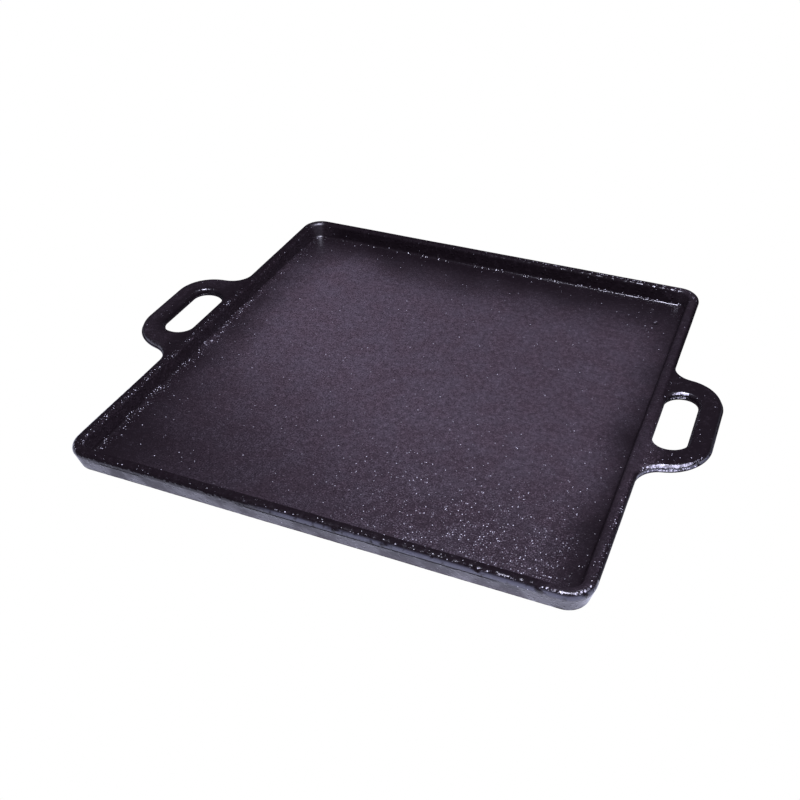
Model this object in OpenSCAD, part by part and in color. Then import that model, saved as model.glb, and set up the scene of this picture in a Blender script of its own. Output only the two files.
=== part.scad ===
// Square cast-iron griddle plate: a flat cooking floor inside a low flared rim,
// with a loop handle on each of two opposite sides.
// The origin is the middle of the underside, +Z is up and the handles lie along X.

/* [Plate] */
// Width of the square plate across the rim's parting line
plate_w = 350; // [250:1:450]
// Height of the rim's top above the underside
rim_h = 15.8; // [13:0.1:25]
// Thickness of the cooking floor
floor_t = 4; // [3:0.1:7]
// Plan radius of the flat floor's corners
floor_corner_r = 4; // [0.5:0.1:20]

/* [Rim] */
// Width of the rim's top, from the parting line to the inner wall
rim_w = 7.5; // [6.6:0.1:14]
// Lean of the outer wall, in degrees
outer_draft = 16; // [2:0.5:30]
// Lean of the inner wall, in degrees
inner_draft = 14; // [2:0.5:30]
// Radius of the lip, from the rim's top down to the parting line
lip_r = 3.6; // [1:0.1:4]
// Radius of the arris between the rim's top and the inner wall
arris_r = 3; // [0.5:0.1:3.2]
// Radius of the fillet between the inner wall and the floor
fillet_r = 3; // [1:0.1:8]
// Radius of the edge round the underside
foot_r = 1.5; // [0.3:0.1:3]

/* [Handles] */
// Reach of a handle beyond the rim's parting line
handle_reach = 39.8; // [34:0.1:60]
// Thickness of a handle
handle_t = 5.9; // [4.5:0.1:8]
// Rise of the grip's outer edge above the rim's top
handle_rise = 2.4; // [0:0.1:8]
// Length of the grip's straight outer edge
grip_len = 40.6; // [24:0.2:80]
// Width of the grip, from the finger slot to the outer edge
grip_w = 16.1; // [10:0.1:20]
// Width of each arm, beside the finger slot
arm_w = 21.2; // [14:0.1:26]
// Radius of the hollow curve where an arm's edge leaves the rim
root_r = 16; // [6:0.5:22]
// Lean of an arm's edge where its root curve meets its corner curve, in degrees
arm_lean = 8.6; // [0:0.2:15]
// Web between the rim's parting line and the finger slot
slot_web = 1.1; // [0.5:0.1:5]
// Radius of the finger slot's corners
slot_r = 11; // [4:0.1:14]
// Depth of a handle's root in the rim's top, from the parting line
seat_depth = 4.6; // [4.2:0.1:5]

/* [Hidden] */
$fn = 96;
iron = [0.17, 0.15, 0.19];
edge_steps = 5; // flats along each rounded edge
root_steps = 8; // stations along a handle's root curve
corner_steps = 10; // stations along a handle's corner curve
margin = 1; // how far a cut runs past the solid

half_w = plate_w / 2;
part_z = rim_h - lip_r;

// A length taken up to the next hundredth
function up(v) = ceil(v * 100) / 100;

function direction(angle) = [cos(angle), sin(angle)];

// Angles from a to b in equal steps
function sweep(a, b, steps) = [for (i = [0:steps]) a + (b - a) * i / steps];

function arc(centre, r, a, b, steps) = [for (t = sweep(a, b, steps)) centre + r * direction(t)];

// Rim section: its radial axis is at the corner's centre and its height is above the underside.
fillet_z = floor_t + fillet_r;
fillet_in = rim_w + (rim_h - fillet_z) * tan(inner_draft) + fillet_r / cos(inner_draft);
base_w = up(fillet_in);
corner_r = floor_corner_r + base_w;
corner_c = half_w - corner_r;
arris_in = rim_w - arris_r * tan(45 - inner_draft / 2);
foot_in = (part_z - foot_r) * tan(outer_draft) + foot_r / cos(outer_draft);

module rim_section() {
    polygon(concat(
        [[floor_corner_r, 0], [floor_corner_r, floor_t]],
        arc([corner_r - fillet_in, fillet_z], fillet_r, 270, 360 - inner_draft, edge_steps),
        arc([corner_r - arris_in, rim_h - arris_r], arris_r, 180 - inner_draft, 90, edge_steps),
        arc([corner_r - lip_r, part_z], lip_r, 90, 0, edge_steps),
        arc([corner_r - foot_in, foot_r], foot_r, -outer_draft, -90, edge_steps)
    ));
}

// The section run along four sides and turned round four corners
module rim_frame() {
    for (turn = [0:90:270])
        rotate(turn) {
            translate([corner_c, corner_c, 0])
                rotate([90, 0, 0])
                    linear_extrude(2 * corner_c)
                        rim_section();
            translate([corner_c, corner_c, 0])
                rotate_extrude(angle = 90)
                    rim_section();
        }
}

// Handle outlines in plan: X is the distance beyond the parting line, Y runs along the rim.
// An arm's edge is two arcs that meet at its lean, and the finger slot is a rounded rectangle.
bend_r = handle_reach / (1 - sin(arm_lean)) - root_r;
bend_c = [handle_reach - bend_r, -grip_len / 2];
root_c = [root_r, -up(grip_len / 2 + (bend_r + root_r) * cos(arm_lean))];
seat_half = -root_c.y;
slot_end = handle_reach - grip_w;
slot_half = grip_len / 2 + bend_r - arm_w;
slot_corner = min(slot_r, (slot_end - slot_web) / 2 - 0.1, slot_half - 1);
slot_y = slot_corner - slot_half;

// A station is a point on the outer edge with its outward direction, the same for the slot's edge,
// and how far the lower edge has turned from the rim's leaning wall (0) to a round (1).
function station(outer, outer_dir, slot, slot_dir, turned) = [outer, outer_dir, slot, slot_dir, turned];

root_angles = sweep(180, 90 + arm_lean, root_steps);
root_slot_angles = sweep(180, 270, root_steps);
root_stations = [for (i = [0:root_steps])
    station(
        root_c + root_r * direction(root_angles[i]),
        -direction(root_angles[i]),
        [slot_web + slot_corner, slot_y] + slot_corner * direction(root_slot_angles[i]),
        -direction(root_slot_angles[i]),
        i / root_steps
    )];

bend_angles = sweep(arm_lean - 90, 0, corner_steps);
bend_slot_angles = sweep(270, 360, corner_steps);
bend_stations = [for (i = [0:corner_steps])
    station(
        bend_c + bend_r * direction(bend_angles[i]),
        direction(bend_angles[i]),
        [slot_end - slot_corner, slot_y] + slot_corner * direction(bend_slot_angles[i]),
        -direction(bend_slot_angles[i]),
        1
    )];

// The flat root face, which stands in the rim's seat
seat_stations = [station([-seat_depth, -seat_half], [0, 0], [slot_web, slot_y / 2], [1, 0], 0)];

near_half = concat(seat_stations, root_stations, bend_stations);

function flip(v) = [v.x, -v.y];

function mirrored(s) = station(flip(s[0]), flip(s[1]), flip(s[2]), flip(s[3]), s[4]);

function reversed(list) = [for (i = [len(list) - 1:-1:0]) list[i]];

stations = concat(near_half, reversed([for (s = near_half) mirrored(s)]));

// Edge section: depth below the handle's top, inset on a round edge, inset on the rim's leaning wall
under_r = handle_t - lip_r;
edge_section = concat(
    [for (t = sweep(90, 0, edge_steps))
        [lip_r * (1 - sin(t)), lip_r * (1 - cos(t)), lip_r * (1 - cos(t))]],
    [for (i = [1:edge_steps])
        let (t = 90 * i / edge_steps, drop = under_r * sin(t))
        [lip_r + drop, under_r * (1 - cos(t)), drop * tan(outer_draft)]]
);

function lift(x) = handle_rise * max(0, x) / handle_reach;

function edge_point(p, dir, edge, turned) =
    let (q = p - dir * (edge[2] + (edge[1] - edge[2]) * turned))
    [q.x, q.y, lift(q.x) - edge[0]];

// One ring of points: down the outer edge and up the slot's edge
function ring(s) = concat(
    [for (e = edge_section) edge_point(s[0], s[1], e, s[4])],
    [for (e = reversed(edge_section)) edge_point(s[2], s[3], e, s[4])]
);

// Loft through the rings, closed round the finger slot
module handle() {
    rings = [for (s = stations) each ring(s)];
    n = len(stations);
    m = 2 * len(edge_section);
    faces = [for (i = [0:n - 1], j = [0:m - 1])
        let (
            a = i * m + j,
            b = i * m + (j + 1) % m,
            c = ((i + 1) % n) * m + (j + 1) % m,
            d = ((i + 1) % n) * m + j
        )
        each [[a, b, c], [a, c, d]]];
    translate([half_w, 0, rim_h])
        polyhedron(rings, faces);
}

// Space that a handle's root takes from the rim
module seat() {
    translate([half_w - seat_depth, -seat_half, rim_h - handle_t])
        cube([seat_depth + margin, 2 * seat_half, handle_t + margin]);
}

module cooking_plate() {
    across = 2 * (corner_c + floor_corner_r);
    color(iron)
        linear_extrude(floor_t) {
            square([across, 2 * corner_c], center = true);
            square([2 * corner_c, across], center = true);
            for (x = [-1, 1], y = [-1, 1])
                translate([x * corner_c, y * corner_c])
                    circle(floor_corner_r);
        }
}

module rim() {
    color(iron)
        difference() {
            rim_frame();
            seat();
            rotate(180) seat();
        }
}

module left_handle() {
    color(iron)
        rotate(180) handle();
}

module right_handle() {
    color(iron)
        handle();
}

cooking_plate();
rim();
left_handle();
right_handle();
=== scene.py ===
"""Square cast-iron griddle plate with two loop handles, finished as seasoned sand-cast iron."""
import math
from collections import namedtuple

import bmesh
import bpy
from mathutils import Matrix, Quaternion, Vector, noise


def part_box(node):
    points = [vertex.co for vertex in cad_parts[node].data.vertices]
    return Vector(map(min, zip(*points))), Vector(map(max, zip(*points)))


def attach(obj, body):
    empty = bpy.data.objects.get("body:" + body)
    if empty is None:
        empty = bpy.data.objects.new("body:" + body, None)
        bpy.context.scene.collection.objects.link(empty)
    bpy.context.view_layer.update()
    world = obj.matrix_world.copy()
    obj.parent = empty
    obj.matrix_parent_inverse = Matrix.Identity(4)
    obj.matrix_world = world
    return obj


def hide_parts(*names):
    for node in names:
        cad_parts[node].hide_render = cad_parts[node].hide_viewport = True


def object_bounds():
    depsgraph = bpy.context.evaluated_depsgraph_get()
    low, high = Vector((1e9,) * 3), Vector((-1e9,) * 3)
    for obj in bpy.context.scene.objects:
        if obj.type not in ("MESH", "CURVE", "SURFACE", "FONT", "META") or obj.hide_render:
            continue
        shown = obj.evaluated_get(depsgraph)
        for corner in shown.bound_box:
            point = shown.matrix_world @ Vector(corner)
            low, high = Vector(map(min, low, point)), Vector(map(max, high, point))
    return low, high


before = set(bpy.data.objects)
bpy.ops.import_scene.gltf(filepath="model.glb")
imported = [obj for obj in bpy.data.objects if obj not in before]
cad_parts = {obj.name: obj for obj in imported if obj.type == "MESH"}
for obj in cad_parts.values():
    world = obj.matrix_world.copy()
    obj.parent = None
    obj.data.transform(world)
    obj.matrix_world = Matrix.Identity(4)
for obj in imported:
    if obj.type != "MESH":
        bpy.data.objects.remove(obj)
cad_low, cad_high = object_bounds()

MM = 0.001
QUARTER = math.pi / 2


def in_mm(*lengths):
    """A row of lengths that are given in millimetres."""
    return tuple(length * MM for length in lengths)


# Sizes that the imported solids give
_, rim_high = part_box("rim")
_, floor_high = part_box("cooking_plate")
handle_low, handle_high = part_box("right_handle")
HALF_W = rim_high.x
RIM_H = rim_high.z
FLOOR_T = floor_high.z
FLOOR_HALF = floor_high.x
HANDLE_REACH = handle_high.x - HALF_W
SEAT_DEPTH = HALF_W - handle_low.x
SEAT_HALF = handle_high.y

# Rim section
FLOOR_CORNER_R = 4.0 * MM
RIM_W = 7.5 * MM
OUTER_DRAFT = math.radians(16)
INNER_DRAFT = math.radians(14)
LIP_R = 3.6 * MM
ARRIS_R = 3.0 * MM
FILLET_R = 3.0 * MM
FOOT_R = 1.5 * MM
BASE_W = HALF_W - FLOOR_HALF
CORNER_R = FLOOR_CORNER_R + BASE_W
CORNER_C = HALF_W - CORNER_R
PART_Z = RIM_H - LIP_R

# Handle outline and section
HANDLE_T = 5.9 * MM
HANDLE_RISE = 2.4 * MM
GRIP_LEN = 40.6 * MM
GRIP_W = 16.1 * MM
ARM_W = 21.2 * MM
ROOT_R = 16.0 * MM
ARM_LEAN = math.radians(8.6)
SLOT_WEB = 1.1 * MM
SLOT_R = 11.0 * MM
SEAT_Z = RIM_H - HANDLE_T
BEND_R = HANDLE_REACH / (1 - math.sin(ARM_LEAN)) - ROOT_R
SLOT_HALF = GRIP_LEN / 2 + BEND_R - ARM_W
SLOT_END = HANDLE_REACH - GRIP_W

# Seam that the two halves of the mould leave: a groove in the rim, a small ledge on the handles
SEAM_DEPTH = 0.6 * MM
SEAM_HALF = 0.5 * MM
SEAM_LEAST = 0.1 * MM
SEAM_SIZE = 60 * MM
SEAM_SHOWN = (-0.15, 0.2)
LEDGE = 0.8 * MM
LEDGE_ROWS = ((0.1, 0.45), (0.4, 0.15), (1, 0))

# Dry line along the foot of the outer wall
FOOT_LINE = 1.9 * MM

# Unevenness of the casting, the same in every run
CAST_SEED = 1
SWELL_SIZE = 45 * MM
SWELL_HEIGHT = 0.16 * MM
DENT_SIZE = 9 * MM
DENT_HEIGHT = 0.05 * MM

# Pit that a bubble left in the floor, with a painted glint on its far edge
FLAW_PLACE = Vector((147.5 * MM, 131.5 * MM, FLOOR_T))
FLAW_TIP = FLAW_PLACE + Vector((0, 2.6 * MM, 0))
FLAW_R = 3.0 * MM
FLAW_DEPTH = 1.2 * MM
FLAW_DARK = 2
FLAW_MESH_R = 3 * FLAW_R
FLAW_CUTS = 3

# Steps in the meshes
EDGE_STEPS = 8
CORNER_STEPS = 24
SIDE_STEPS = 32
SEAT_STEPS = 44
FLOOR_STEPS = 110
ROOT_STEPS = 14
BEND_STEPS = 20
TOP_STEPS = 6
SMOOTH_ANGLE = math.radians(35)
TINY = 0.001 * MM
NEARLY = 0.01 * MM


def ease(value, start, full):
    """0 before start, 1 past full and a smooth change between, whichever of the two is larger."""
    share = min(max((value - start) / (full - start), 0), 1)
    return share * share * (3 - 2 * share)


def band(value, low, high, soft):
    """1 between low and high, with soft ends."""
    return ease(value, low, low + soft) * ease(value, high, high - soft)


def between(first, second, share):
    """A row of values that lies between two rows."""
    return [a + (b - a) * share for a, b in zip(first, second)]


def rim_inset(point):
    """Distance in from the rim's parting line, seen from above."""
    x, y = abs(point.x) - CORNER_C, abs(point.y) - CORNER_C
    return CORNER_R - math.hypot(max(x, 0), max(y, 0)) - min(max(x, y), 0)


def slot_gap(point):
    """Distance out from a handle's finger slot, seen from above."""
    middle = HALF_W + (SLOT_END + SLOT_WEB) / 2
    x = abs(abs(point.x) - middle) - (SLOT_END - SLOT_WEB) / 2 + SLOT_R
    y = abs(point.y) - SLOT_HALF + SLOT_R
    return math.hypot(max(x, 0), max(y, 0)) + min(max(x, y), 0) - SLOT_R


def handle_depth(point):
    """Depth below a handle's sloping top."""
    return RIM_H + HANDLE_RISE * max(0, abs(point.x) - HALF_W) / HANDLE_REACH - point.z


def flaw(point):
    """1 in the middle of the floor's pit, 0 from its edge on."""
    return ease((point - FLAW_PLACE).length, FLAW_R, 0)


# Places that several rules share. Here and below a pair is for ease and a row of three for band
SIDE_START = (CORNER_C, CORNER_C + 5 * MM)
CORNER_TURN = (CORNER_C - 1 * MM, CORNER_C + 3 * MM)
CORNER_INSIDE = in_mm(3, 5)
OUTER_PART = in_mm(6, 5)
TOP_FACE = in_mm(1.2, 0.6)
RIGHT_LEDGE = in_mm(-0.9, 0.15, 0.15)


def past_corner(reach):
    """1 on the side of the rim that a coordinate reaches to."""
    return ease(reach, *SIDE_START)


def inner_corner(point):
    """1 in the rim's inner corners."""
    turned = ease(min(abs(point.x), abs(point.y)), *CORNER_TURN)
    return turned * ease(rim_inset(point), *CORNER_INSIDE)


# Grey places on the rim and the handles: the right side's top, and painted light on the left inner wall
# and the left grip
RIM_START = 2 * MM
RIGHT_TOP_GREY = 0.2
RIGHT_TOP_GREY_BY_HANDLE = 0.15
LEFT_WALL_PAINTED_LIGHT = 0.2
LEFT_GRIP_PAINTED_SHEEN = 0.12
DULL_SIDE = (CORNER_C - 20 * MM, CORNER_C)
BY_HANDLE_BACK = in_mm(30, -40)
BY_HANDLE_FRONT = in_mm(-120, -70)
WEB_ENDS = (SEAT_HALF - 4 * MM, SEAT_HALF - 16 * MM)
WEB_BACK = in_mm(24, 8)
TOP_OUTER_EDGE = in_mm(1, 3)
WEB_OUTER_EDGE = in_mm(-16, -1)
TOP_INNER_EDGE = (RIM_W + 3 * MM, RIM_W + 1 * MM)
INNER_WALL_START = (RIM_W - 1 * MM, RIM_W + 1 * MM)
GRIP_START = (HALF_W + 4 * MM, HALF_W + 10 * MM)
GRIP_EDGE = in_mm(3, 9)


def rim_grey_and_painted_light(point):
    """Grey places above the floor: the right side's top, more of it by the right handle, painted light on
    the left inner wall and a painted sheen on the left grip's outer part.
    """
    x, y, inset = point.x, point.y, rim_inset(point)
    by_handle = ease(y, *BY_HANDLE_BACK) * ease(y, *BY_HANDLE_FRONT)
    web = ease(abs(y), *WEB_ENDS) * ease(y, *WEB_BACK)
    top = ease(x, *DULL_SIDE) * ease(inset, *TOP_INNER_EDGE)
    top *= ease(inset, *between(TOP_OUTER_EDGE, WEB_OUTER_EDGE, web))
    left_wall_light = ease(-x, *DULL_SIDE) * ease(inset, *INNER_WALL_START)
    grip_sheen = ease(-x, *GRIP_START) * ease(slot_gap(point), *GRIP_EDGE)
    greyness = (RIGHT_TOP_GREY + RIGHT_TOP_GREY_BY_HANDLE * by_handle) * top
    return greyness + LEFT_WALL_PAINTED_LIGHT * left_wall_light + LEFT_GRIP_PAINTED_SHEEN * grip_sheen


# Dull middle of the floor, partly worn dull and partly painted light: painted shade along the walls, in
# front and to the front left, and a painted sheen rising towards the back left. Its outline drifts, and
# its falls and rises are for each metre along X.
OUTLINE_SIZE = 30 * MM
OUTLINE_DRIFT = 9 * MM
LEFT_FADE = in_mm(-20, 48)
RIGHT_FADE = in_mm(-12, 30)
RIGHT_FADE_LEAN = 0.06
BACK_FADE = in_mm(0, 72)
BACK_LEFT_FADE = in_mm(-10, 60)
BACK_LEFT = in_mm(60, 120)
FRONT_FADE = 130 * MM
FRONT_FADE_STRETCH = 0.8
FRONT_PAINTED_SHADE_LEVEL = 0.5
FRONT_PAINTED_SHADE_FALL_LEFT = 3
MIDDLE_DULL = 1.01
PAINTED_LIGHT_RISE_LEFT = 2.5
PAINTED_LIGHT_FALL_RIGHT = 1


def floor_dullness_and_painted_light(point):
    """The floor's dull middle, partly worn and partly painted light: lightest at the back left as painted
    sheen, darker at the edges, partly oil and partly painted shade, and dark in the pit.
    """
    pit = min(FLAW_DARK * flaw(point), 1)
    point = point + noise.noise_vector(point / OUTLINE_SIZE) * OUTLINE_DRIFT
    x, y = point.x, point.y
    to_left, to_right = max(-x, 0), max(x, 0)
    left = ease(FLOOR_HALF + x, *LEFT_FADE)
    right = ease(FLOOR_HALF - x, RIGHT_FADE[0] - RIGHT_FADE_LEAN * y, RIGHT_FADE[1])
    back = ease(FLOOR_HALF - y, *between(BACK_FADE, BACK_LEFT_FADE, ease(-x, *BACK_LEFT)))
    least = FRONT_PAINTED_SHADE_LEVEL - FRONT_PAINTED_SHADE_FALL_LEFT * to_left
    front = least + (1 - least) * ease(FLOOR_HALF + y, 0, FRONT_FADE + FRONT_FADE_STRETCH * to_left)
    level = MIDDLE_DULL + PAINTED_LIGHT_RISE_LEFT * to_left - PAINTED_LIGHT_FALL_RIGHT * to_right
    return left * right * back * front * level * (1 - pit)


def grey_and_painted_light(point):
    """How far the iron is greyed, by worn dull seasoning and by painted light: little on the rim and the
    handles, most on the floor.
    """
    if point.z > FLOOR_T + RIM_START:
        return rim_grey_and_painted_light(point)
    return floor_dullness_and_painted_light(point)


# Grain of the sand
FLOOR_GRAIN = 0.8
RIM_GRAIN_MORE = 0.6
HANDLE_TOP_GRAIN_LESS = 0.8
CORNER_SMOOTHNESS = 0.9
RIM_GRAIN_START = (BASE_W + 6 * MM, BASE_W - 2 * MM)
HANDLE_START = (HALF_W - 4 * MM, HALF_W + 2 * MM)
HANDLE_TOP = in_mm(0.6, 0.1)


def coarseness(point):
    """How far the sand's grain stands out of the skin: most on the rim, least on the handles' tops."""
    rim = ease(rim_inset(point), *RIM_GRAIN_START)
    handle_top = ease(abs(point.x), *HANDLE_START) * ease(handle_depth(point), *HANDLE_TOP)
    grain = FLOOR_GRAIN + RIM_GRAIN_MORE * rim - HANDLE_TOP_GRAIN_LESS * handle_top
    return grain * (1 - CORNER_SMOOTHNESS * inner_corner(point))


# Painted glints: white specks on the floor and along the left side, where highlights of the light fall
SPECKS_ANYWHERE = 0.012
FLOOR_SPECKS_Z = 1 * MM
CLEAR_OF_RIM = (FLOOR_HALF - 4 * MM, FLOOR_HALF - 18 * MM)
THIN_SPECKS = 0.045
THIN_SPECKS_X = in_mm(-80, 60)
THIN_SPECKS_Y = in_mm(0, -110)
DENSE_SPECKS = 0.18
DENSE_SPECKS_X = in_mm(-20, 110)
DENSE_SPECKS_Y = in_mm(-60, -160)
LEFT_SPECKS = 0.1
LEFT_SPECKS_MORE = 0.24
LEFT_SPECKS_Y = in_mm(110, -20)
FLOOR_LEFT_EDGE = (FLOOR_HALF - 4 * MM, FLOOR_HALF)
TIP_SPECKS = 1.2
TIP_REACH = in_mm(1.3, 0.5)


def left_glints(point):
    """Painted glints along the left side, more of them towards the front."""
    return LEFT_SPECKS + LEFT_SPECKS_MORE * ease(point.y, *LEFT_SPECKS_Y)


def floor_glints(point):
    """Painted glints on the floor: dense at its near right corner, on its left edge and at the pit's tip.
    """
    x, y = point.x, point.y
    thin = THIN_SPECKS * ease(x, *THIN_SPECKS_X) * ease(y, *THIN_SPECKS_Y)
    dense = DENSE_SPECKS * ease(x, *DENSE_SPECKS_X) * ease(y, *DENSE_SPECKS_Y)
    share = ease(x, *CLEAR_OF_RIM) * (thin + dense)
    share += left_glints(point) * ease(-x, *FLOOR_LEFT_EDGE)
    return share + TIP_SPECKS * ease((point - FLAW_TIP).length, *TIP_REACH)


# Painted glints on the right handle: X is from the parting line, and heights are below the handle's top
HANDLE_SPECKS = 0.03
NEAR_ARM_SPECKS = 0.08
NEAR_ARM_X = in_mm(1, 8)
NEAR_ARM_Y = in_mm(-30, -45)
UPPER_EDGE_SPECKS = 3.0
UPPER_EDGE = in_mm(0.15, 1.8, 0.4)
LEDGE_SPECKS = 1.4
ABOVE_LEDGE = (LIP_R + 0.2 * MM, LIP_R)
SLOT_SPECKS = 0.9
SLOT_SPECKS_X = in_mm(2, 17, 3)
SLOT_SPECKS_Y = in_mm(20, 26)
SLOT_SPECKS_GAP = in_mm(5, 3)
WEB_SPECKS = 0.2
WEB_SPECKS_X = in_mm(0, 5, 1)
WEB_SPECKS_Y = in_mm(15, -5)
WEB_SPECKS_DEPTH = in_mm(3, 2)


def handle_glints(point):
    """Painted glints on the right handle: painted highlight lines on its near arm's edges and its slot's
    far end, and glints on its web.
    """
    beyond, y, depth = point.x - HALF_W, point.y, handle_depth(point)
    near = ease(beyond, *NEAR_ARM_X) * ease(y, *NEAR_ARM_Y)
    slot = band(beyond, *SLOT_SPECKS_X) * ease(y, *SLOT_SPECKS_Y)
    slot *= ease(slot_gap(point), *SLOT_SPECKS_GAP)
    web = band(beyond, *WEB_SPECKS_X) * ease(y, *WEB_SPECKS_Y) * ease(depth, *WEB_SPECKS_DEPTH)
    # Dense glints on the near arm's upper edge and ledge and at the slot's far end paint highlight lines
    edges = UPPER_EDGE_SPECKS * band(depth, *UPPER_EDGE)
    edges += LEDGE_SPECKS * band(depth - LIP_R, *RIGHT_LEDGE)
    share = HANDLE_SPECKS * ease(point.x, 0, HALF_W) + NEAR_ARM_SPECKS * near
    share *= ease(depth, *ABOVE_LEDGE)
    return share + WEB_SPECKS * web + edges * max(near, SLOT_SPECKS * slot)


# Painted glints on the rim: places across it are insets from the parting line
ROUNDED_EDGE = in_mm(2.2, 1)
LEFT_TOP = in_mm(4, 5.5)
BACK_SPECKS_X = in_mm(-20, 80)
BACK_FILLET_SPECKS = 0.7
BACK_TOP_SPECKS = 0.9
BACK_TOP = in_mm(3.6, 5.8, 0.6)
RIGHT_SPECKS = 0.35
RIGHT_SPECKS_Y = in_mm(-50, -100)
RIGHT_TOP = in_mm(0.6, 4, 1)
FRONT_SPECKS = 0.12
FRONT_SPECKS_MORE = 0.45
FRONT_SPECKS_X = in_mm(40, 160)
FRONT_CORNER_SPECKS = 0.85
FRONT_CORNER_X = (CORNER_C - 10 * MM, HALF_W - 6 * MM)
FRONT_TOP = in_mm(0.8, 3, 0.5)


def rim_glints(point):
    """Painted glints on the rim: along the left, back and front edges, and on the right side's near end.
    """
    x, y, inset = point.x, point.y, rim_inset(point)
    top = ease(RIM_H - point.z, *ROUNDED_EDGE)
    fillet = ease(point.z - FLOOR_T, *ROUNDED_EDGE)
    share = past_corner(-x) * left_glints(point) * (fillet + top * ease(inset, *LEFT_TOP))
    back = BACK_FILLET_SPECKS * fillet + BACK_TOP_SPECKS * top * band(inset, *BACK_TOP)
    share += past_corner(y) * ease(x, *BACK_SPECKS_X) * back
    right = RIGHT_SPECKS * ease(y, *RIGHT_SPECKS_Y)
    share += past_corner(x) * right * top * band(inset, *RIGHT_TOP)
    front = FRONT_SPECKS + FRONT_SPECKS_MORE * ease(x, *FRONT_SPECKS_X)
    front += FRONT_CORNER_SPECKS * ease(x, *FRONT_CORNER_X)
    edge = ease(RIM_H - point.z, *TOP_FACE) * band(inset, *FRONT_TOP)
    return share + past_corner(-y) * front * edge


def painted_glints(point):
    """Share of the grain painted white as glints: sparse on the floor, dense on edges where the light's
    highlights fall.
    """
    inset = rim_inset(point)
    if point.z - FLOOR_T < FLOOR_SPECKS_Z and inset > RIM_W:
        return SPECKS_ANYWHERE + floor_glints(point)
    if inset < 0:
        return SPECKS_ANYWHERE + handle_glints(point)
    return SPECKS_ANYWHERE + rim_glints(point)


# Dry places
STRAIGHT_PART = (CORNER_C + 3 * MM, CORNER_C - 3 * MM)
INSIDE_DRY = 0.6
INSIDE_START = (RIM_W - 2 * MM, RIM_W)
INSIDE_Z = (FLOOR_T + 0.4 * MM, RIM_H + 1 * MM, 0.6 * MM)
STEEP_DRY = 0.5
STEEP_Z = (FLOOR_T + 1.2 * MM, RIM_H - 1.2 * MM, 1 * MM)
TOP_START = in_mm(0, 0.6)
BACK_TOP_DRIER = 0.35
RIGHT_EDGE_DRY = 1.1
RIGHT_EDGE_Y = (-CORNER_C, 5 * MM - CORNER_C)
RIGHT_EDGE = in_mm(-0.5, 3.5, 0.5)
UNDERSIDE_DRY = 1.2
UNDERSIDE_START = (LIP_R, LIP_R + 0.3 * MM)
UNDERSIDE_X = (HALF_W, HALF_W + 1 * MM)
FOOT_DRY = 0.9
FOOT_Z = (FOOT_LINE - 0.3 * MM, FOOT_LINE - 0.6 * MM)


def dryness(point):
    """Share of the skin that the oil has left: on the rim's inner wall, top, right edge and foot,
    and under the right handle."""
    x, y, z, inset = point.x, point.y, point.z, rim_inset(point)
    straight = ease(min(abs(x), abs(y)), *STRAIGHT_PART)
    inside = ease(inset, *INSIDE_START) * band(z, *INSIDE_Z)
    steep = inside * band(z, *STEEP_Z)
    top = ease(RIM_H - z, *TOP_FACE) * ease(inset, *TOP_START)
    top *= 1 + BACK_TOP_DRIER * past_corner(y)
    right_edge = ease(x, CORNER_C, HALF_W) * ease(y, *RIGHT_EDGE_Y) * band(inset, *RIGHT_EDGE)
    underside = ease(handle_depth(point), *UNDERSIDE_START) * ease(x, *UNDERSIDE_X)
    foot = ease(z, *FOOT_Z) * ease(inset, *OUTER_PART)
    return max(
        straight * (INSIDE_DRY * max(inside, top) + STEEP_DRY * steep),
        RIGHT_EDGE_DRY * right_edge,
        UNDERSIDE_DRY * underside,
        FOOT_DRY * foot,
    )


# Oiled places: X is from the parting line
NEAR_EDGE_Y = in_mm(-35, -50)
HANDLE_EDGE_X = in_mm(0.5, 2)
HANDLE_EDGE_DEPTH = in_mm(0, 2, 0.3)
SLOT_GLEAM = 0.6
SLOT_GLEAM_Y = in_mm(14, 24)
SLOT_FAR_X = (SLOT_END + LIP_R + 1 * MM, SLOT_END + LIP_R - 1 * MM)
SLOT_FAR_Y = (SLOT_HALF + LIP_R + 1 * MM, SLOT_HALF + LIP_R - 1 * MM)
CORNER_GLEAM = 1.8


def gleam(point):
    """Where hands keep the iron oiled: the handles' near edges, the slots' far ends, and the rim's
    inner corner at the back left."""
    x, y = point.x, point.y
    beyond = abs(x) - HALF_W
    near = ease(y, *NEAR_EDGE_Y)
    slot = ease(y, *SLOT_GLEAM_Y) * ease(beyond, *SLOT_FAR_X) * ease(y, *SLOT_FAR_Y)
    edge = ease(beyond, *HANDLE_EDGE_X) * band(handle_depth(point), *HANDLE_EDGE_DEPTH)
    back_left = ease(-x, 0, CORNER_C) * ease(y, -CORNER_C, 0)
    return edge * max(near, SLOT_GLEAM * slot) + CORNER_GLEAM * inner_corner(point) * back_left


# Painted reflection, lilac grey: under the left handle's seam, on the right handle's ledge and along the
# front lip
HANDLE_INSET = -0.5 * MM
BELOW_LEFT_SEAM = in_mm(0.1, 1.6, 0.5)
PAINTED_REFLECTION_GAP = in_mm(8, 12)
PAINTED_REFLECTION_ARM_Y = in_mm(-14, -30)
LIP_FROM_SEAM = in_mm(-0.3, 0.2)
LIP_FROM_TOP = in_mm(0.8, 1.6)
LIP_INSET = in_mm(3, 2)
FRONT_LIP_Y = (CORNER_C, CORNER_C + 10 * MM)
FRONT_LIP_X = in_mm(-40, -10)


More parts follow.
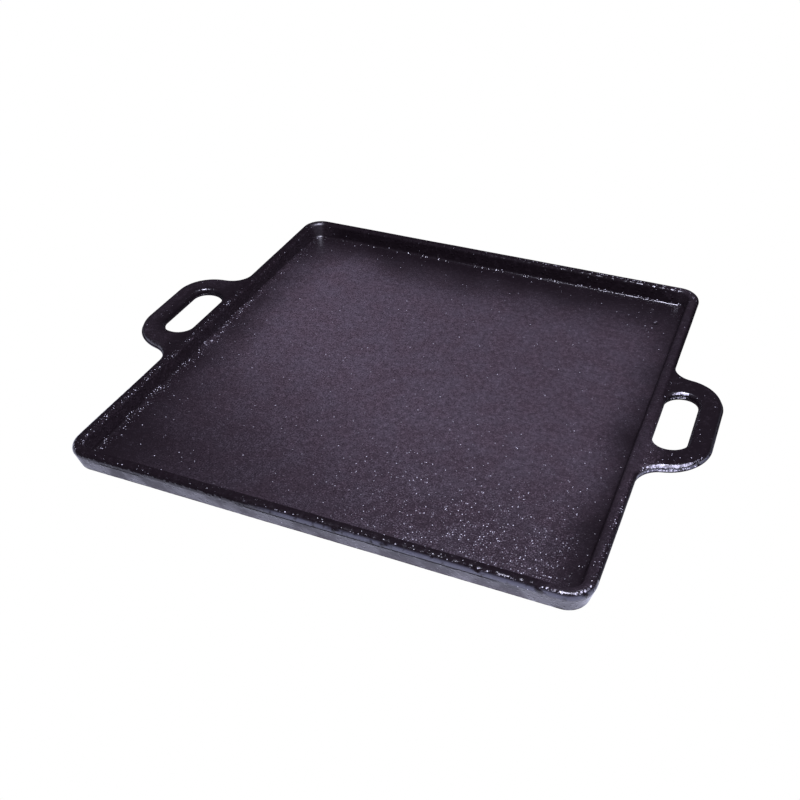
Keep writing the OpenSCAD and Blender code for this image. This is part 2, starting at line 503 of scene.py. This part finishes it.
def painted_reflection(point):
    """How far a reflection is painted lilac grey onto the iron: the handles' near arms at the seam, and
    the front lip above it.
    """
    inset = rim_inset(point)
    if inset < HANDLE_INSET:
        edge = RIGHT_LEDGE if point.x > 0 else BELOW_LEFT_SEAM
        seam = band(handle_depth(point) - LIP_R, *edge)
        return seam * ease(slot_gap(point), *PAINTED_REFLECTION_GAP) * ease(point.y, *PAINTED_REFLECTION_ARM_Y)
    lip = ease(point.z - PART_Z, *LIP_FROM_SEAM) * ease(RIM_H - point.z, *LIP_FROM_TOP)
    lip *= ease(inset, *LIP_INSET)
    return lip * ease(-point.y, *FRONT_LIP_Y) * ease(point.x, *FRONT_LIP_X)


# Outer wall, below the seam
WALL_Z = (PART_Z, PART_Z - 1 * MM)


def wall(point):
    """1 on the rim's outer wall, below the seam."""
    return ease(point.z, *WALL_Z) * ease(rim_inset(point), *OUTER_PART)


RULES = (grey_and_painted_light, coarseness, wall, dryness, gleam, painted_reflection, painted_glints)


def add_field(mesh, rule):
    """Keeps a rule's value at each vertex, under the rule's name, for the finish to read."""
    field = mesh.attributes.new(rule.__name__, "FLOAT", "POINT")
    field.data.foreach_set("value", [rule(v.co) for v in mesh.vertices])


def finished_piece(name, bm, node):
    """Turns a bmesh into a shaded piece that stands for a CAD node."""
    bmesh.ops.remove_doubles(bm, verts=bm.verts, dist=TINY)
    bmesh.ops.recalc_face_normals(bm, faces=bm.faces)
    for face in bm.faces:
        face.smooth = True
    mesh = bpy.data.meshes.new(name)
    bm.to_mesh(mesh)
    bm.free()
    mesh.set_sharp_from_angle(angle=SMOOTH_ANGLE)
    for rule in RULES:
        add_field(mesh, rule)
    piece = bpy.data.objects.new(name, mesh)
    bpy.context.scene.collection.objects.link(piece)
    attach(piece, "root")
    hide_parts(node)
    return piece


def verts_of(made):
    """The vertices among what an operator made."""
    return [g for g in made if isinstance(g, bmesh.types.BMVert)]


def edges_of(made):
    """The edges among what an operator made."""
    return [g for g in made if isinstance(g, bmesh.types.BMEdge)]


def make_uneven(bm):
    """Gives the casting its slow swells and small dents, inside the CAD box and with a flat underside."""
    for vert in bm.verts:
        swell = noise.noise_vector(vert.co / SWELL_SIZE) * SWELL_HEIGHT
        dent = noise.noise_vector(vert.co / DENT_SIZE) * DENT_HEIGHT
        moved = vert.co + swell + dent
        if vert.co.z < NEARLY:
            moved.z = vert.co.z
        vert.co = Vector(min(max(c, low), high) for c, low, high in zip(moved, cad_low, cad_high))


def line_to(bm, tip, point):
    """Runs an outline straight from its tip to a point."""
    end = bmesh.ops.extrude_vert_indiv(bm, verts=[tip])["verts"][0]
    end.co = point
    return end


def arc_to(bm, tip, centre, angle, steps):
    """Runs an outline from its tip round a centre, in the section plane."""
    turned = bmesh.ops.spin(bm, geom=[tip], cent=centre, axis=(0, 1, 0), angle=angle, steps=steps)
    return verts_of(turned["geom_last"])[0]


def rim_section(bm):
    """Draws the rim's section at the near end of the right side, and returns its edges."""
    def at(inset, height):
        return Vector((HALF_W - inset, -CORNER_C, height))

    fillet_z = FLOOR_T + FILLET_R
    wall_in = (RIM_H - fillet_z) * math.tan(INNER_DRAFT)
    fillet_in = RIM_W + wall_in + FILLET_R / math.cos(INNER_DRAFT)
    arris_in = RIM_W - ARRIS_R * math.tan((QUARTER - INNER_DRAFT) / 2)
    foot_in = (PART_Z - FOOT_R) * math.tan(OUTER_DRAFT) + FOOT_R / math.cos(OUTER_DRAFT)

    first = bm.verts.new(at(BASE_W, 0))
    tip = line_to(bm, first, at(BASE_W, FLOOR_T))
    tip = line_to(bm, tip, at(fillet_in, FLOOR_T))
    tip = arc_to(bm, tip, at(fillet_in, fillet_z), INNER_DRAFT - QUARTER, EDGE_STEPS)
    arris = Vector((math.cos(INNER_DRAFT), 0, -math.sin(INNER_DRAFT))) * -ARRIS_R
    tip = line_to(bm, tip, at(arris_in, RIM_H - ARRIS_R) + arris)
    tip = arc_to(bm, tip, at(arris_in, RIM_H - ARRIS_R), QUARTER - INNER_DRAFT, EDGE_STEPS)
    tip = line_to(bm, tip, at(SEAT_DEPTH, RIM_H))
    tip = line_to(bm, tip, at(LIP_R, RIM_H))
    tip = arc_to(bm, tip, at(LIP_R, PART_Z), QUARTER, EDGE_STEPS)
    tip = line_to(bm, tip, at(SEAM_DEPTH, PART_Z - SEAM_HALF))
    for z in (PART_Z - 2 * SEAM_HALF, SEAT_Z, FOOT_LINE):
        tip = line_to(bm, tip, at((PART_Z - z) * math.tan(OUTER_DRAFT), z))
    foot = Vector((math.cos(OUTER_DRAFT), 0, -math.sin(OUTER_DRAFT))) * FOOT_R
    tip = line_to(bm, tip, at(foot_in, FOOT_R) + foot)
    tip = arc_to(bm, tip, at(foot_in, FOOT_R), QUARTER - OUTER_DRAFT, EDGE_STEPS)
    bm.edges.new((tip, first))
    return bm.edges[:]


def run_along(bm, edges, step, count):
    """Extrudes an outline in equal steps and returns its last edges."""
    for _ in range(count):
        made = bmesh.ops.extrude_edge_only(bm, edges=edges)["geom"]
        bmesh.ops.translate(bm, verts=verts_of(made), vec=step)
        edges = [e for e in edges_of(made) if len(e.link_faces) == 1]
    return edges


def cut_seat(bm, side):
    """Cuts the seat of one handle's root out of the rim's lip."""
    seat_x = HALF_W - SEAT_DEPTH

    def in_seat(face):
        middle = face.calc_center_median()
        return side * middle.x > seat_x and abs(middle.y) < SEAT_HALF and middle.z > SEAT_Z

    def on_edge(pick):
        return [e for e in bm.edges if e.is_boundary and all(pick(v.co) for v in e.verts)]

    bmesh.ops.delete(bm, geom=[f for f in bm.faces if in_seat(f)], context="FACES")
    low = on_edge(lambda p: abs(p.z - SEAT_Z) < TINY)
    high = on_edge(lambda p: abs(side * p.x - seat_x) < TINY)
    made = bmesh.ops.extrude_edge_only(bm, edges=high)["geom"]
    bmesh.ops.translate(bm, verts=verts_of(made), vec=(0, 0, -HANDLE_T))
    back = on_edge(lambda p: abs(side * p.x - seat_x) < TINY and abs(p.z - SEAT_Z) < TINY)
    bmesh.ops.bridge_loops(bm, edges=low + back)
    for end in (-SEAT_HALF, SEAT_HALF):
        bmesh.ops.contextual_create(bm, geom=on_edge(lambda p: abs(p.y - end) < TINY))


def vary_seam(bm):
    """Lets the rim's seam fade out and come back along the sides without a handle."""
    for vert in bm.verts:
        outward = vert.co.xy - Vector(min(max(c, -CORNER_C), CORNER_C) for c in vert.co.xy)
        at_seam = abs(vert.co.z - PART_Z + SEAM_HALF) < TINY
        in_groove = abs(outward.length - CORNER_R + SEAM_DEPTH) < TINY
        by_handle = abs(vert.co.y) < SEAT_HALF + ROOT_R
        if by_handle or not (at_seam and in_groove):
            continue
        shown = ease(noise.noise(vert.co / SEAM_SIZE), *SEAM_SHOWN)
        filled = outward.normalized() * (SEAM_DEPTH - SEAM_LEAST) * (1 - shown)
        vert.co += filled.to_3d()


def make_rim():
    """The rim: its section run along four sides and turned round four corners, with two seats."""
    bm = bmesh.new()
    edges = rim_section(bm)
    plain = (CORNER_C - SEAT_HALF, SIDE_STEPS)
    seat = (2 * SEAT_HALF, SEAT_STEPS)
    for side in range(4):
        turn = Matrix.Rotation(QUARTER * side, 3, "Z")
        for length, steps in (plain, seat, plain):
            edges = run_along(bm, edges, turn @ Vector((0, length / steps, 0)), steps)
        centre = turn @ Vector((CORNER_C, CORNER_C, 0))
        turned = bmesh.ops.spin(
            bm, geom=edges, cent=centre, axis=(0, 0, 1), angle=QUARTER, steps=CORNER_STEPS)
        edges = edges_of(turned["geom_last"])
    bmesh.ops.remove_doubles(bm, verts=bm.verts, dist=TINY)
    cut_seat(bm, 1)
    cut_seat(bm, -1)
    vary_seam(bm)
    make_uneven(bm)
    return finished_piece("rim_casting", bm, "rim")


def sink_flaw(bm):
    """Sinks the pit into the floor's upper face."""
    def is_close(vert):
        return (vert.co - FLAW_PLACE).length < FLAW_MESH_R

    close = [e for e in bm.edges if all(is_close(v) for v in e.verts)]
    bmesh.ops.subdivide_edges(bm, edges=close, cuts=FLAW_CUTS, use_grid_fill=True)
    for vert in bm.verts:
        vert.co.z -= FLAW_DEPTH * flaw(vert.co)


def make_cooking_plate():
    """The cooking floor: a slab with rounded corners, an uneven upper face and one pit."""
    bm = bmesh.new()
    bmesh.ops.create_grid(bm, x_segments=FLOOR_STEPS, y_segments=FLOOR_STEPS, size=FLOOR_HALF)
    bmesh.ops.translate(bm, verts=bm.verts, vec=(0, 0, FLOOR_T))
    made = bmesh.ops.extrude_edge_only(bm, edges=[e for e in bm.edges if e.is_boundary])["geom"]
    bmesh.ops.translate(bm, verts=verts_of(made), vec=(0, 0, -FLOOR_T))
    bmesh.ops.contextual_create(bm, geom=[e for e in bm.edges if e.is_boundary])

    def at_corner(vert):
        return abs(vert.co.x) + abs(vert.co.y) > 2 * FLOOR_HALF - NEARLY

    upright = [e for e in bm.edges if all(at_corner(v) for v in e.verts)]
    bmesh.ops.bevel(
        bm, geom=upright, offset=FLOOR_CORNER_R, offset_type="OFFSET", segments=EDGE_STEPS,
        profile=0.5, affect="EDGES", material=-1)
    sink_flaw(bm)
    make_uneven(bm)
    return finished_piece("cooking_floor", bm, "cooking_plate")


# Station round a handle: a point on each edge, its outward direction, and the lower edges' turn
Station = namedtuple("Station", "outer outer_dir slot slot_dir turned")


def toward(angle):
    """The direction of an angle, seen from above."""
    return Vector((math.cos(angle), math.sin(angle)))


def mirrored(station):
    """The same station on the far half of a handle."""
    flipped = [Vector((v.x, -v.y)) for v in station[:4]]
    return Station(*flipped, station.turned)


def handle_stations():
    """Stations round a handle: its root face, its root curve and its bend, then the same mirrored."""
    root_c = Vector((ROOT_R, -SEAT_HALF))
    bend_c = Vector((HANDLE_REACH - BEND_R, -GRIP_LEN / 2))
    slot_y = SLOT_R - SLOT_HALF
    slot_root = Vector((SLOT_WEB + SLOT_R, slot_y))
    slot_bend = Vector((SLOT_END - SLOT_R, slot_y))
    seat = Vector((-SEAT_DEPTH, -SEAT_HALF))
    stations = [Station(seat, Vector((0, 0)), Vector((SLOT_WEB, slot_y / 2)), Vector((1, 0)), 0)]
    for i in range(ROOT_STEPS + 1):
        share = i / ROOT_STEPS
        outer = toward(math.pi - share * (QUARTER - ARM_LEAN))
        slot = toward(math.pi + share * QUARTER)
        stations.append(
            Station(root_c + ROOT_R * outer, -outer, slot_root + SLOT_R * slot, -slot, share))
    for i in range(BEND_STEPS + 1):
        share = i / BEND_STEPS
        outer = toward((ARM_LEAN - QUARTER) * (1 - share))
        slot = toward(QUARTER * (3 + share))
        stations.append(
            Station(bend_c + BEND_R * outer, outer, slot_bend + SLOT_R * slot, -slot, 1))
    return stations + [mirrored(station) for station in reversed(stations)]


def edge_section():
    """Depth below a handle's top, inset on a round edge and inset on the rim's leaning wall."""
    under_r = HANDLE_T - LIP_R
    rows = []
    for i in range(EDGE_STEPS + 1):
        angle = QUARTER * (1 - i / EDGE_STEPS)
        away = 1 - math.cos(angle)
        rows.append((LIP_R * (1 - math.sin(angle)), LEDGE + (LIP_R - LEDGE) * away, LIP_R * away))
    for drop, ledge in LEDGE_ROWS:
        rows.append((LIP_R + drop * SEAM_HALF, ledge * LEDGE, drop * SEAM_DEPTH))
    first = math.asin(2 * SEAM_HALF / under_r)
    for i in range(EDGE_STEPS + 1):
        angle = first + (QUARTER - first) * i / EDGE_STEPS
        drop = under_r * math.sin(angle)
        rows.append((LIP_R + drop, under_r * (1 - math.cos(angle)), drop * math.tan(OUTER_DRAFT)))
    return rows


def handle_ring(bm, station):
    """One closed ring of edges round a handle's arm or grip. Its lower edges lean as the rim's wall
    does where the station's turn is 0, and are round where it is 1."""
    section = edge_section()

    def point(base, direction, row):
        depth, rounded, leaning = row
        plan = base - direction * (leaning + (rounded - leaning) * station.turned)
        rise = HANDLE_RISE * max(0, plan.x) / HANDLE_REACH
        return Vector((HALF_W + plan.x, plan.y, RIM_H + rise - depth))

    down = [point(station.outer, station.outer_dir, row) for row in section]
    up = [point(station.slot, station.slot_dir, row) for row in reversed(section)]
    across = [i / TOP_STEPS for i in range(1, TOP_STEPS)]
    under = [down[-1].lerp(up[0], share) for share in across]
    over = [up[-1].lerp(down[0], share) for share in across]
    verts = [bm.verts.new(p) for p in down + under + up + over]
    return [bm.edges.new(pair) for pair in zip(verts, verts[1:] + verts[:1])]


def make_handle(name, node, turn):
    """A loop handle: rings bridged round the finger slot."""
    bm = bmesh.new()
    rings = [handle_ring(bm, station) for station in handle_stations()]
    for near, far in zip(rings, rings[1:] + rings[:1]):
        bmesh.ops.bridge_loops(bm, edges=near + far)
    bmesh.ops.rotate(bm, verts=bm.verts, cent=(0, 0, 0), matrix=Matrix.Rotation(turn, 3, "Z"))
    make_uneven(bm)
    return finished_piece(name, bm, node)


class Nodes:
    """Short calls for laying out a material's nodes."""

    def __init__(self, tree):
        self.tree = tree

    def add(self, kind, **settings):
        node = self.tree.nodes.new("ShaderNode" + kind)
        for name, value in settings.items():
            setattr(node, name, value)
        return node

    def join(self, source, target):
        """Links a socket to another, or sets a plain value on it."""
        if isinstance(source, (int, float, tuple)):
            target.default_value = source
        else:
            self.tree.links.new(source, target)

    def math(self, operation, first, second=0.0):
        node = self.add("Math", operation=operation)
        self.join(first, node.inputs[0])
        self.join(second, node.inputs[1])
        return node.outputs[0]

    def plus(self, first, second):
        return self.math("ADD", first, second)

    def minus(self, first, second):
        return self.math("SUBTRACT", first, second)

    def times(self, first, second):
        return self.math("MULTIPLY", first, second)

    def squared(self, value):
        return self.math("POWER", value, 2.0)

    def ramp(self, value, low, high, to_low=0.0, to_high=1.0):
        """A smooth change from to_low, where the value is low, to to_high, where it is high."""
        node = self.add("MapRange", interpolation_type="SMOOTHSTEP")
        for source, target in zip((value, low, high, to_low, to_high), node.inputs):
            self.join(source, target)
        return node.outputs[0]

    def blend(self, share, first, second):
        """A colour between two colours."""
        node = self.add("Mix", data_type="RGBA")
        self.join(share, node.inputs[0])
        self.join(first, node.inputs[6])
        self.join(second, node.inputs[7])
        return node.outputs[2]

    def noise(self, place, size, detail, roughness):
        node = self.add("TexNoise")
        self.join(place, node.inputs["Vector"])
        node.inputs["Scale"].default_value = 1 / size
        node.inputs["Detail"].default_value = detail
        node.inputs["Roughness"].default_value = roughness
        return node.outputs["Fac"]

    def cells(self, place, size):
        """The distance to the nearest cell's middle, and three chance values of that cell."""
        node = self.add("TexVoronoi")
        self.join(place, node.inputs["Vector"])
        node.inputs["Scale"].default_value = 1 / size
        parts = self.add("SeparateColor")
        self.join(node.outputs["Color"], parts.inputs[0])
        return node.outputs["Distance"], parts.outputs

    def along(self, place):
        """The X, Y and Z of a place."""
        node = self.add("SeparateXYZ")
        self.join(place, node.inputs[0])
        return node.outputs

    def object_place(self):
        return self.add("TexCoord").outputs["Object"]

    def field(self, rule):
        """The value that a rule left on the mesh."""
        return self.add("Attribute", attribute_name=rule.__name__).outputs["Fac"]

    def seen_or_else(self, seen, other, output):
        """One shader for what the camera sees, another for what lights and mirrors."""
        mix = self.add("MixShader")
        self.join(self.add("LightPath").outputs["Is Camera Ray"], mix.inputs[0])
        self.join(other.outputs[0], mix.inputs[1])
        self.join(seen.outputs[0], mix.inputs[2])
        self.join(mix.outputs[0], output.inputs["Surface"])


# Colours of the iron: the grey ones are for dullness and painted light, the lilac grey for painted
# reflection and the white for painted glints
BLACK_IRON = (0.0118, 0.0078, 0.0102, 1)
WARM_DULL_AND_PAINTED_LIGHT_IRON = (0.131, 0.096, 0.116, 1)
COOL_DULL_AND_PAINTED_LIGHT_IRON = (0.125, 0.0985, 0.120, 1)
PAINTED_REFLECTION_GREY = (0.120, 0.120, 0.150, 1)
PAINTED_GLINT_WHITE = (0.90, 0.88, 0.95, 1)

# Patterns in the skin: the size, detail and roughness of a noise, or the size of a cell
PATCHES = (18 * MM, 3, 0.5)
GRAIN = (4 * MM, 4, 0.65)
SKIN = (6 * MM, 2, 0.5)
FINE_FLECKS = (1 * MM, 1, 0.5)
NOISE_MIDDLE = 0.5
PEBBLE_SIZE = 2.4 * MM
PEBBLE_R = 0.5
SPECK_SIZE = 1.1 * MM

# Dullness and painted light: painted shade in the gaps between the pebbles and in fine dark flecks,
# stronger on the left. Here and below a ramp is a row: its two ends, then its values there
MOTTLE_BY_GRAIN = (0.3, 0.7, 0.42, 0.70)
MOTTLE_BY_PATCH = (0.25, 0.75, 0.94, 1.1)
PAINTED_SHADE_BY_PEBBLE_GAP = (0.28, 0.6, 1.06, 0.80)
FLECK_LEAST = 0.9
FLECK_TAIL = 22.0
FLECK_SHADE_BY_SIDE = (-130 * MM, 130 * MM, 2.2, 0.8)
DULL_BY_GRAIN = (0.5, 0.75, 0.0, 0.07)
DIM_GLINTS_BY_FLECKS = (0.5, 0.7, 0.0, 2.2)

# Painted glints as white specks, and painted reflection
SPECKS_BY_SKIN = (0.35, 0.65, 0.2, 1.8)
SPECK_CORE = 0.2
SPECK_REACH = 0.28
SPECK_REACH_BY_GLINT_DENSITY = 0.12
REACH_BY_CHANCE = (0.4, 1.0, 0.0, 0.2)
LIGHT_BY_CHANCE = (0.3, 1.1, 0.1, 1.1)
LIGHT_BY_GLINT_DENSITY = 1.5
PAINTED_REFLECTION_BY_SKIN = (0.35, 0.5)
TINT_BY_PATCH = (0.3, 0.7)

# Oil and roughness
OIL_DRY = 0.03
OIL_FULL = 0.5
OIL_GLEAM = 0.5
OIL_SOFT = 0.15
ROUGH_LEAST = 0.2
ROUGH_GLEAM = 0.12
ROUGH_BY_PAINTED_REFLECTION = 0.2
ROUGH_BY_DULL = (0.0, 0.7, 0.22, 0.32)
ROUGH_BY_PATCH = (0.35, 0.65, -0.02, 0.02)
SMOOTH_BY_PEBBLE = (0.2, 1.0, 0.0, 0.1)
CHALK_BY_PATCH = (0.35, 0.6, 0.35, 0.0)
ROUGH_BY_OIL = (0.03, 0.2, 0.3, 0.0)

# Relief
RELIEF_HEIGHT = 0.17 * MM
RELIEF_STRENGTH = 1.0
RELIEF_GRAIN = 0.4
RELIEF_SKIN = 0.8
IRON_IOR = 1.5

Patterns = namedtuple("Patterns", "place patches grain skin dust pebble_gap chance")


def skin_patterns(n):
    """The patterns that the finish is made of, on the piece's own coordinates."""
    place = n.object_place()
    noises = [n.noise(place, *pattern) for pattern in (PATCHES, GRAIN, SKIN, FINE_FLECKS)]
    return Patterns(place, *noises, *n.cells(place, PEBBLE_SIZE))


def mottled_grey_and_painted_light(n, p):
    """Dullness and painted light, mottled by the grain and the patches, with painted shade in the gaps
    between the pebbles and in fine flecks that stand partly for grain and partly for the relief's small
    shadows.
    """
    mottle = n.times(n.ramp(p.grain, *MOTTLE_BY_GRAIN), n.ramp(p.patches, *MOTTLE_BY_PATCH))
    spread = n.minus(p.dust, NOISE_MIDDLE)
    sharp = n.plus(FLECK_LEAST, n.times(n.squared(n.math("ABSOLUTE", spread)), FLECK_TAIL))
    sharp = n.times(sharp, n.ramp(n.along(p.place)[0], *FLECK_SHADE_BY_SIDE))
    mottle = n.times(mottle, n.plus(1.0, n.times(spread, sharp)))
    mottle = n.times(mottle, n.ramp(p.pebble_gap, *PAINTED_SHADE_BY_PEBBLE_GAP))
    greyness = n.times(n.field(grey_and_painted_light), mottle)
    return n.plus(greyness, n.ramp(p.grain, *DULL_BY_GRAIN))


def pebbles(n, p):
    """Domes that the grains of sand leave, of uneven height."""
    dome = n.minus(1.0, n.squared(n.math("DIVIDE", p.pebble_gap, PEBBLE_R)))
    dome = n.squared(n.math("MAXIMUM", dome, 0.0))
    lift = n.math("SQRT", n.times(n.math("LOGARITHM", p.chance[1], math.e), -1.0))
    return n.times(dome, n.times(lift, n.field(coarseness)))


def glint_specks(n, p):
    """Painted glints as white specks, and the share of the grain that they take."""
    away, rank = n.cells(p.place, SPECK_SIZE)
    glint_density = n.field(painted_glints)
    share = n.times(glint_density, n.ramp(p.skin, *SPECKS_BY_SKIN))
    reach = n.plus(SPECK_REACH, n.times(n.squared(glint_density), SPECK_REACH_BY_GLINT_DENSITY))
    reach = n.plus(reach, n.ramp(rank[2], *REACH_BY_CHANCE))
    glint = n.times(n.ramp(away, reach, SPECK_CORE), n.math("LESS_THAN", rank[0], share))
    glint = n.times(glint, n.ramp(rank[1], *LIGHT_BY_CHANCE))
    return n.times(glint, n.plus(1.0, n.times(glint_density, LIGHT_BY_GLINT_DENSITY))), share


def iron_colour(n, p, greyness, reflection_share, glint):
    """Black skin, grey where it is dull and where light is painted, lilac grey where a reflection is
    painted, and white where a glint is painted.
    """
    tint = n.blend(n.ramp(p.patches, *TINT_BY_PATCH), WARM_DULL_AND_PAINTED_LIGHT_IRON, COOL_DULL_AND_PAINTED_LIGHT_IRON)
    colour = n.blend(greyness, BLACK_IRON, tint)
    colour = n.blend(reflection_share, colour, PAINTED_REFLECTION_GREY)
    return n.blend(glint, colour, PAINTED_GLINT_WHITE)


def oil_film(n, p, gleaming):
    """The shine of the oil, which has left the dry places grain by grain."""
    dry = n.field(dryness)
    oil = n.ramp(p.chance[2], n.minus(dry, OIL_SOFT), dry, OIL_DRY, OIL_FULL)
    return n.plus(oil, n.times(gleaming, OIL_GLEAM))


def iron_roughness(n, p, greyness, pebble, gleaming, reflection_share, oil):
    """Rougher where the grey of dullness and painted light lies, where the skin is chalky, under painted
    reflections and where it is dry; smoother on the pebbles.
    """
    rough = n.ramp(greyness, *ROUGH_BY_DULL)
    rough = n.plus(rough, n.ramp(p.patches, *ROUGH_BY_PATCH))
    rough = n.minus(rough, n.ramp(pebble, *SMOOTH_BY_PEBBLE))
    rough = n.plus(rough, n.times(n.field(wall), n.ramp(p.patches, *CHALK_BY_PATCH)))
    rough = n.plus(rough, n.times(gleaming, ROUGH_GLEAM))
    rough = n.plus(rough, n.times(reflection_share, ROUGH_BY_PAINTED_REFLECTION))
    rough = n.plus(rough, n.ramp(oil, *ROUGH_BY_OIL))
    return n.math("MAXIMUM", rough, ROUGH_LEAST)


def iron_relief(n, p, pebble):
    """The relief of the pebbles, the grain and the skin."""
    height = n.plus(pebble, n.times(p.grain, RELIEF_GRAIN))
    height = n.plus(height, n.times(p.skin, RELIEF_SKIN))
    bump = n.add("Bump")
    bump.inputs["Strength"].default_value = RELIEF_STRENGTH
    bump.inputs["Distance"].default_value = RELIEF_HEIGHT
    n.join(height, bump.inputs["Height"])
    return bump.outputs["Normal"]


def seasoned_iron():
    """Oil-seasoned sand-cast iron: black skin, worn dull on the floor, with painted shade, sheen,
    reflections and glints.
    """
    material = bpy.data.materials.new("seasoned_cast_iron")
    material.use_nodes = True
    shader = material.node_tree.nodes["Principled BSDF"]
    n = Nodes(material.node_tree)
    p = skin_patterns(n)
    pebble = pebbles(n, p)
    glint, share = glint_specks(n, p)
    greyness = mottled_grey_and_painted_light(n, p)
    # Grey flecks where painted glints are dense paint fainter glints
    dim_glints = n.times(n.math("MINIMUM", share, greyness), n.ramp(p.dust, *DIM_GLINTS_BY_FLECKS))
    greyness = n.plus(greyness, dim_glints)
    reflection_share = n.times(n.field(painted_reflection), n.ramp(p.skin, *PAINTED_REFLECTION_BY_SKIN))
    gleaming = n.field(gleam)
    oil = oil_film(n, p, gleaming)
    rough = iron_roughness(n, p, greyness, pebble, gleaming, reflection_share, oil)
    n.join(iron_colour(n, p, greyness, reflection_share, glint), shader.inputs["Base Color"])
    n.join(rough, shader.inputs["Roughness"])
    n.join(oil, shader.inputs["Specular IOR Level"])
    n.join(iron_relief(n, p, pebble), shader.inputs["Normal"])
    shader.inputs["IOR"].default_value = IRON_IOR
    return material


# Camera, placed so that the plate's square fills the frame as photographed
CAMERA_PLACE = Vector(in_mm(231.26, -537.34, 424.29))
CAMERA_TARGET = Vector(in_mm(26.25, -39.59, 15.80))
CAMERA_ROLL = math.radians(-0.457)
CAMERA_LENS = 44.52
CAMERA_SHIFT = -0.036


def add_camera():
    """The camera at the photographed angle."""
    data = bpy.data.cameras.new("camera")
    data.lens = CAMERA_LENS
    data.shift_x = CAMERA_SHIFT
    camera = bpy.data.objects.new("camera", data)
    camera.location = CAMERA_PLACE
    aim = (CAMERA_TARGET - CAMERA_PLACE).to_track_quat("-Z", "Y")
    camera.rotation_mode = "QUATERNION"
    camera.rotation_quaternion = aim @ Quaternion((0, 0, 1), CAMERA_ROLL)
    bpy.context.scene.collection.objects.link(camera)
    bpy.context.scene.camera = camera


# Studio light from overhead
LIGHT_PLACE = Vector(in_mm(100, -100, 1100))
LIGHT_WIDTH = 300 * MM
LIGHT_POWER = 16
LIGHT_COLOUR = (0.80, 0.79, 1.0)


def add_light():
    """A soft square light, aimed at the middle of the plate."""
    data = bpy.data.lights.new("overhead", "AREA")
    data.shape = "SQUARE"
    data.size = LIGHT_WIDTH
    data.energy = LIGHT_POWER
    data.color = LIGHT_COLOUR
    light = bpy.data.objects.new("overhead", data)
    light.location = LIGHT_PLACE
    light.rotation_mode = "QUATERNION"
    light.rotation_quaternion = (-LIGHT_PLACE).to_track_quat("-Z", "Y")
    bpy.context.scene.collection.objects.link(light)


# Studio floor: white to the camera, with a glow from the front that the outer walls mirror, weak behind
# as painted shade under the plate and the handles
STUDIO_R = 2.5
STUDIO_SIDES = 64
STUDIO_Z = -0.1 * MM
GLOW_COLOUR = (0.76, 0.77, 1.0, 1)
GLOW_IN_PAINTED_SHADE = 0.15
GLOW_EDGE_Y = in_mm(-70, -30)
GLOW_BY_X = (0.0, 120 * MM, 1.5, 2.0)
GLOW_EDGE_BY_X = (160 * MM, 200 * MM, 0.0, 35 * MM)


def pale_floor():
    """Plain white to the camera, and to the iron a cool glow in front of the plate, weak behind it as
    painted shade under the plate and the handles.
    """
    material = bpy.data.materials.new("pale_floor")
    material.use_nodes = True
    n = Nodes(material.node_tree)
    x, y, _ = n.along(n.object_place())
    front = n.ramp(x, *GLOW_BY_X)
    edge = n.minus(y, n.ramp(x, *GLOW_EDGE_BY_X))
    glow = n.add("Emission")
    glow.inputs["Color"].default_value = GLOW_COLOUR
    n.join(n.ramp(edge, *GLOW_EDGE_Y, front, GLOW_IN_PAINTED_SHADE), glow.inputs["Strength"])
    n.seen_or_else(n.add("Emission"), glow, material.node_tree.nodes["Material Output"])
    return material


def add_floor():
    """A plain pale floor."""
    bm = bmesh.new()
    bmesh.ops.create_circle(bm, cap_ends=True, segments=STUDIO_SIDES, radius=STUDIO_R)
    bmesh.ops.translate(bm, verts=bm.verts, vec=(0, 0, STUDIO_Z))
    mesh = bpy.data.meshes.new("studio_floor")
    bm.to_mesh(mesh)
    bm.free()
    mesh.materials.append(pale_floor())
    floor = bpy.data.objects.new("studio_floor", mesh)
    bpy.context.scene.collection.objects.link(floor)


# Studio around: white to the camera, dim to the iron
DIM_COLOUR = (0.82, 0.8, 1.0, 1)
DIM_STRENGTH = 0.04
PALE_COLOUR = (1, 1, 1, 1)


def set_world():
    """A dim studio with a pale backdrop."""
    world = bpy.data.worlds.new("studio")
    world.use_nodes = True
    n = Nodes(world.node_tree)
    dim = world.node_tree.nodes["Background"]
    dim.inputs["Color"].default_value = DIM_COLOUR
    dim.inputs["Strength"].default_value = DIM_STRENGTH
    pale = n.add("Background")
    pale.inputs["Color"].default_value = PALE_COLOUR
    n.seen_or_else(pale, dim, world.node_tree.nodes["World Output"])
    bpy.context.scene.world = world


add_camera()
add_floor()
set_world()
add_light()
noise.seed_set(CAST_SEED)
pieces = [
    make_cooking_plate(),
    make_rim(),
    make_handle("right_loop_handle", "right_handle", 0),
    make_handle("left_loop_handle", "left_handle", math.pi),
]
iron = seasoned_iron()
for piece in pieces:
    piece.data.materials.append(iron)
bpy.context.scene.view_settings.view_transform = "Standard"
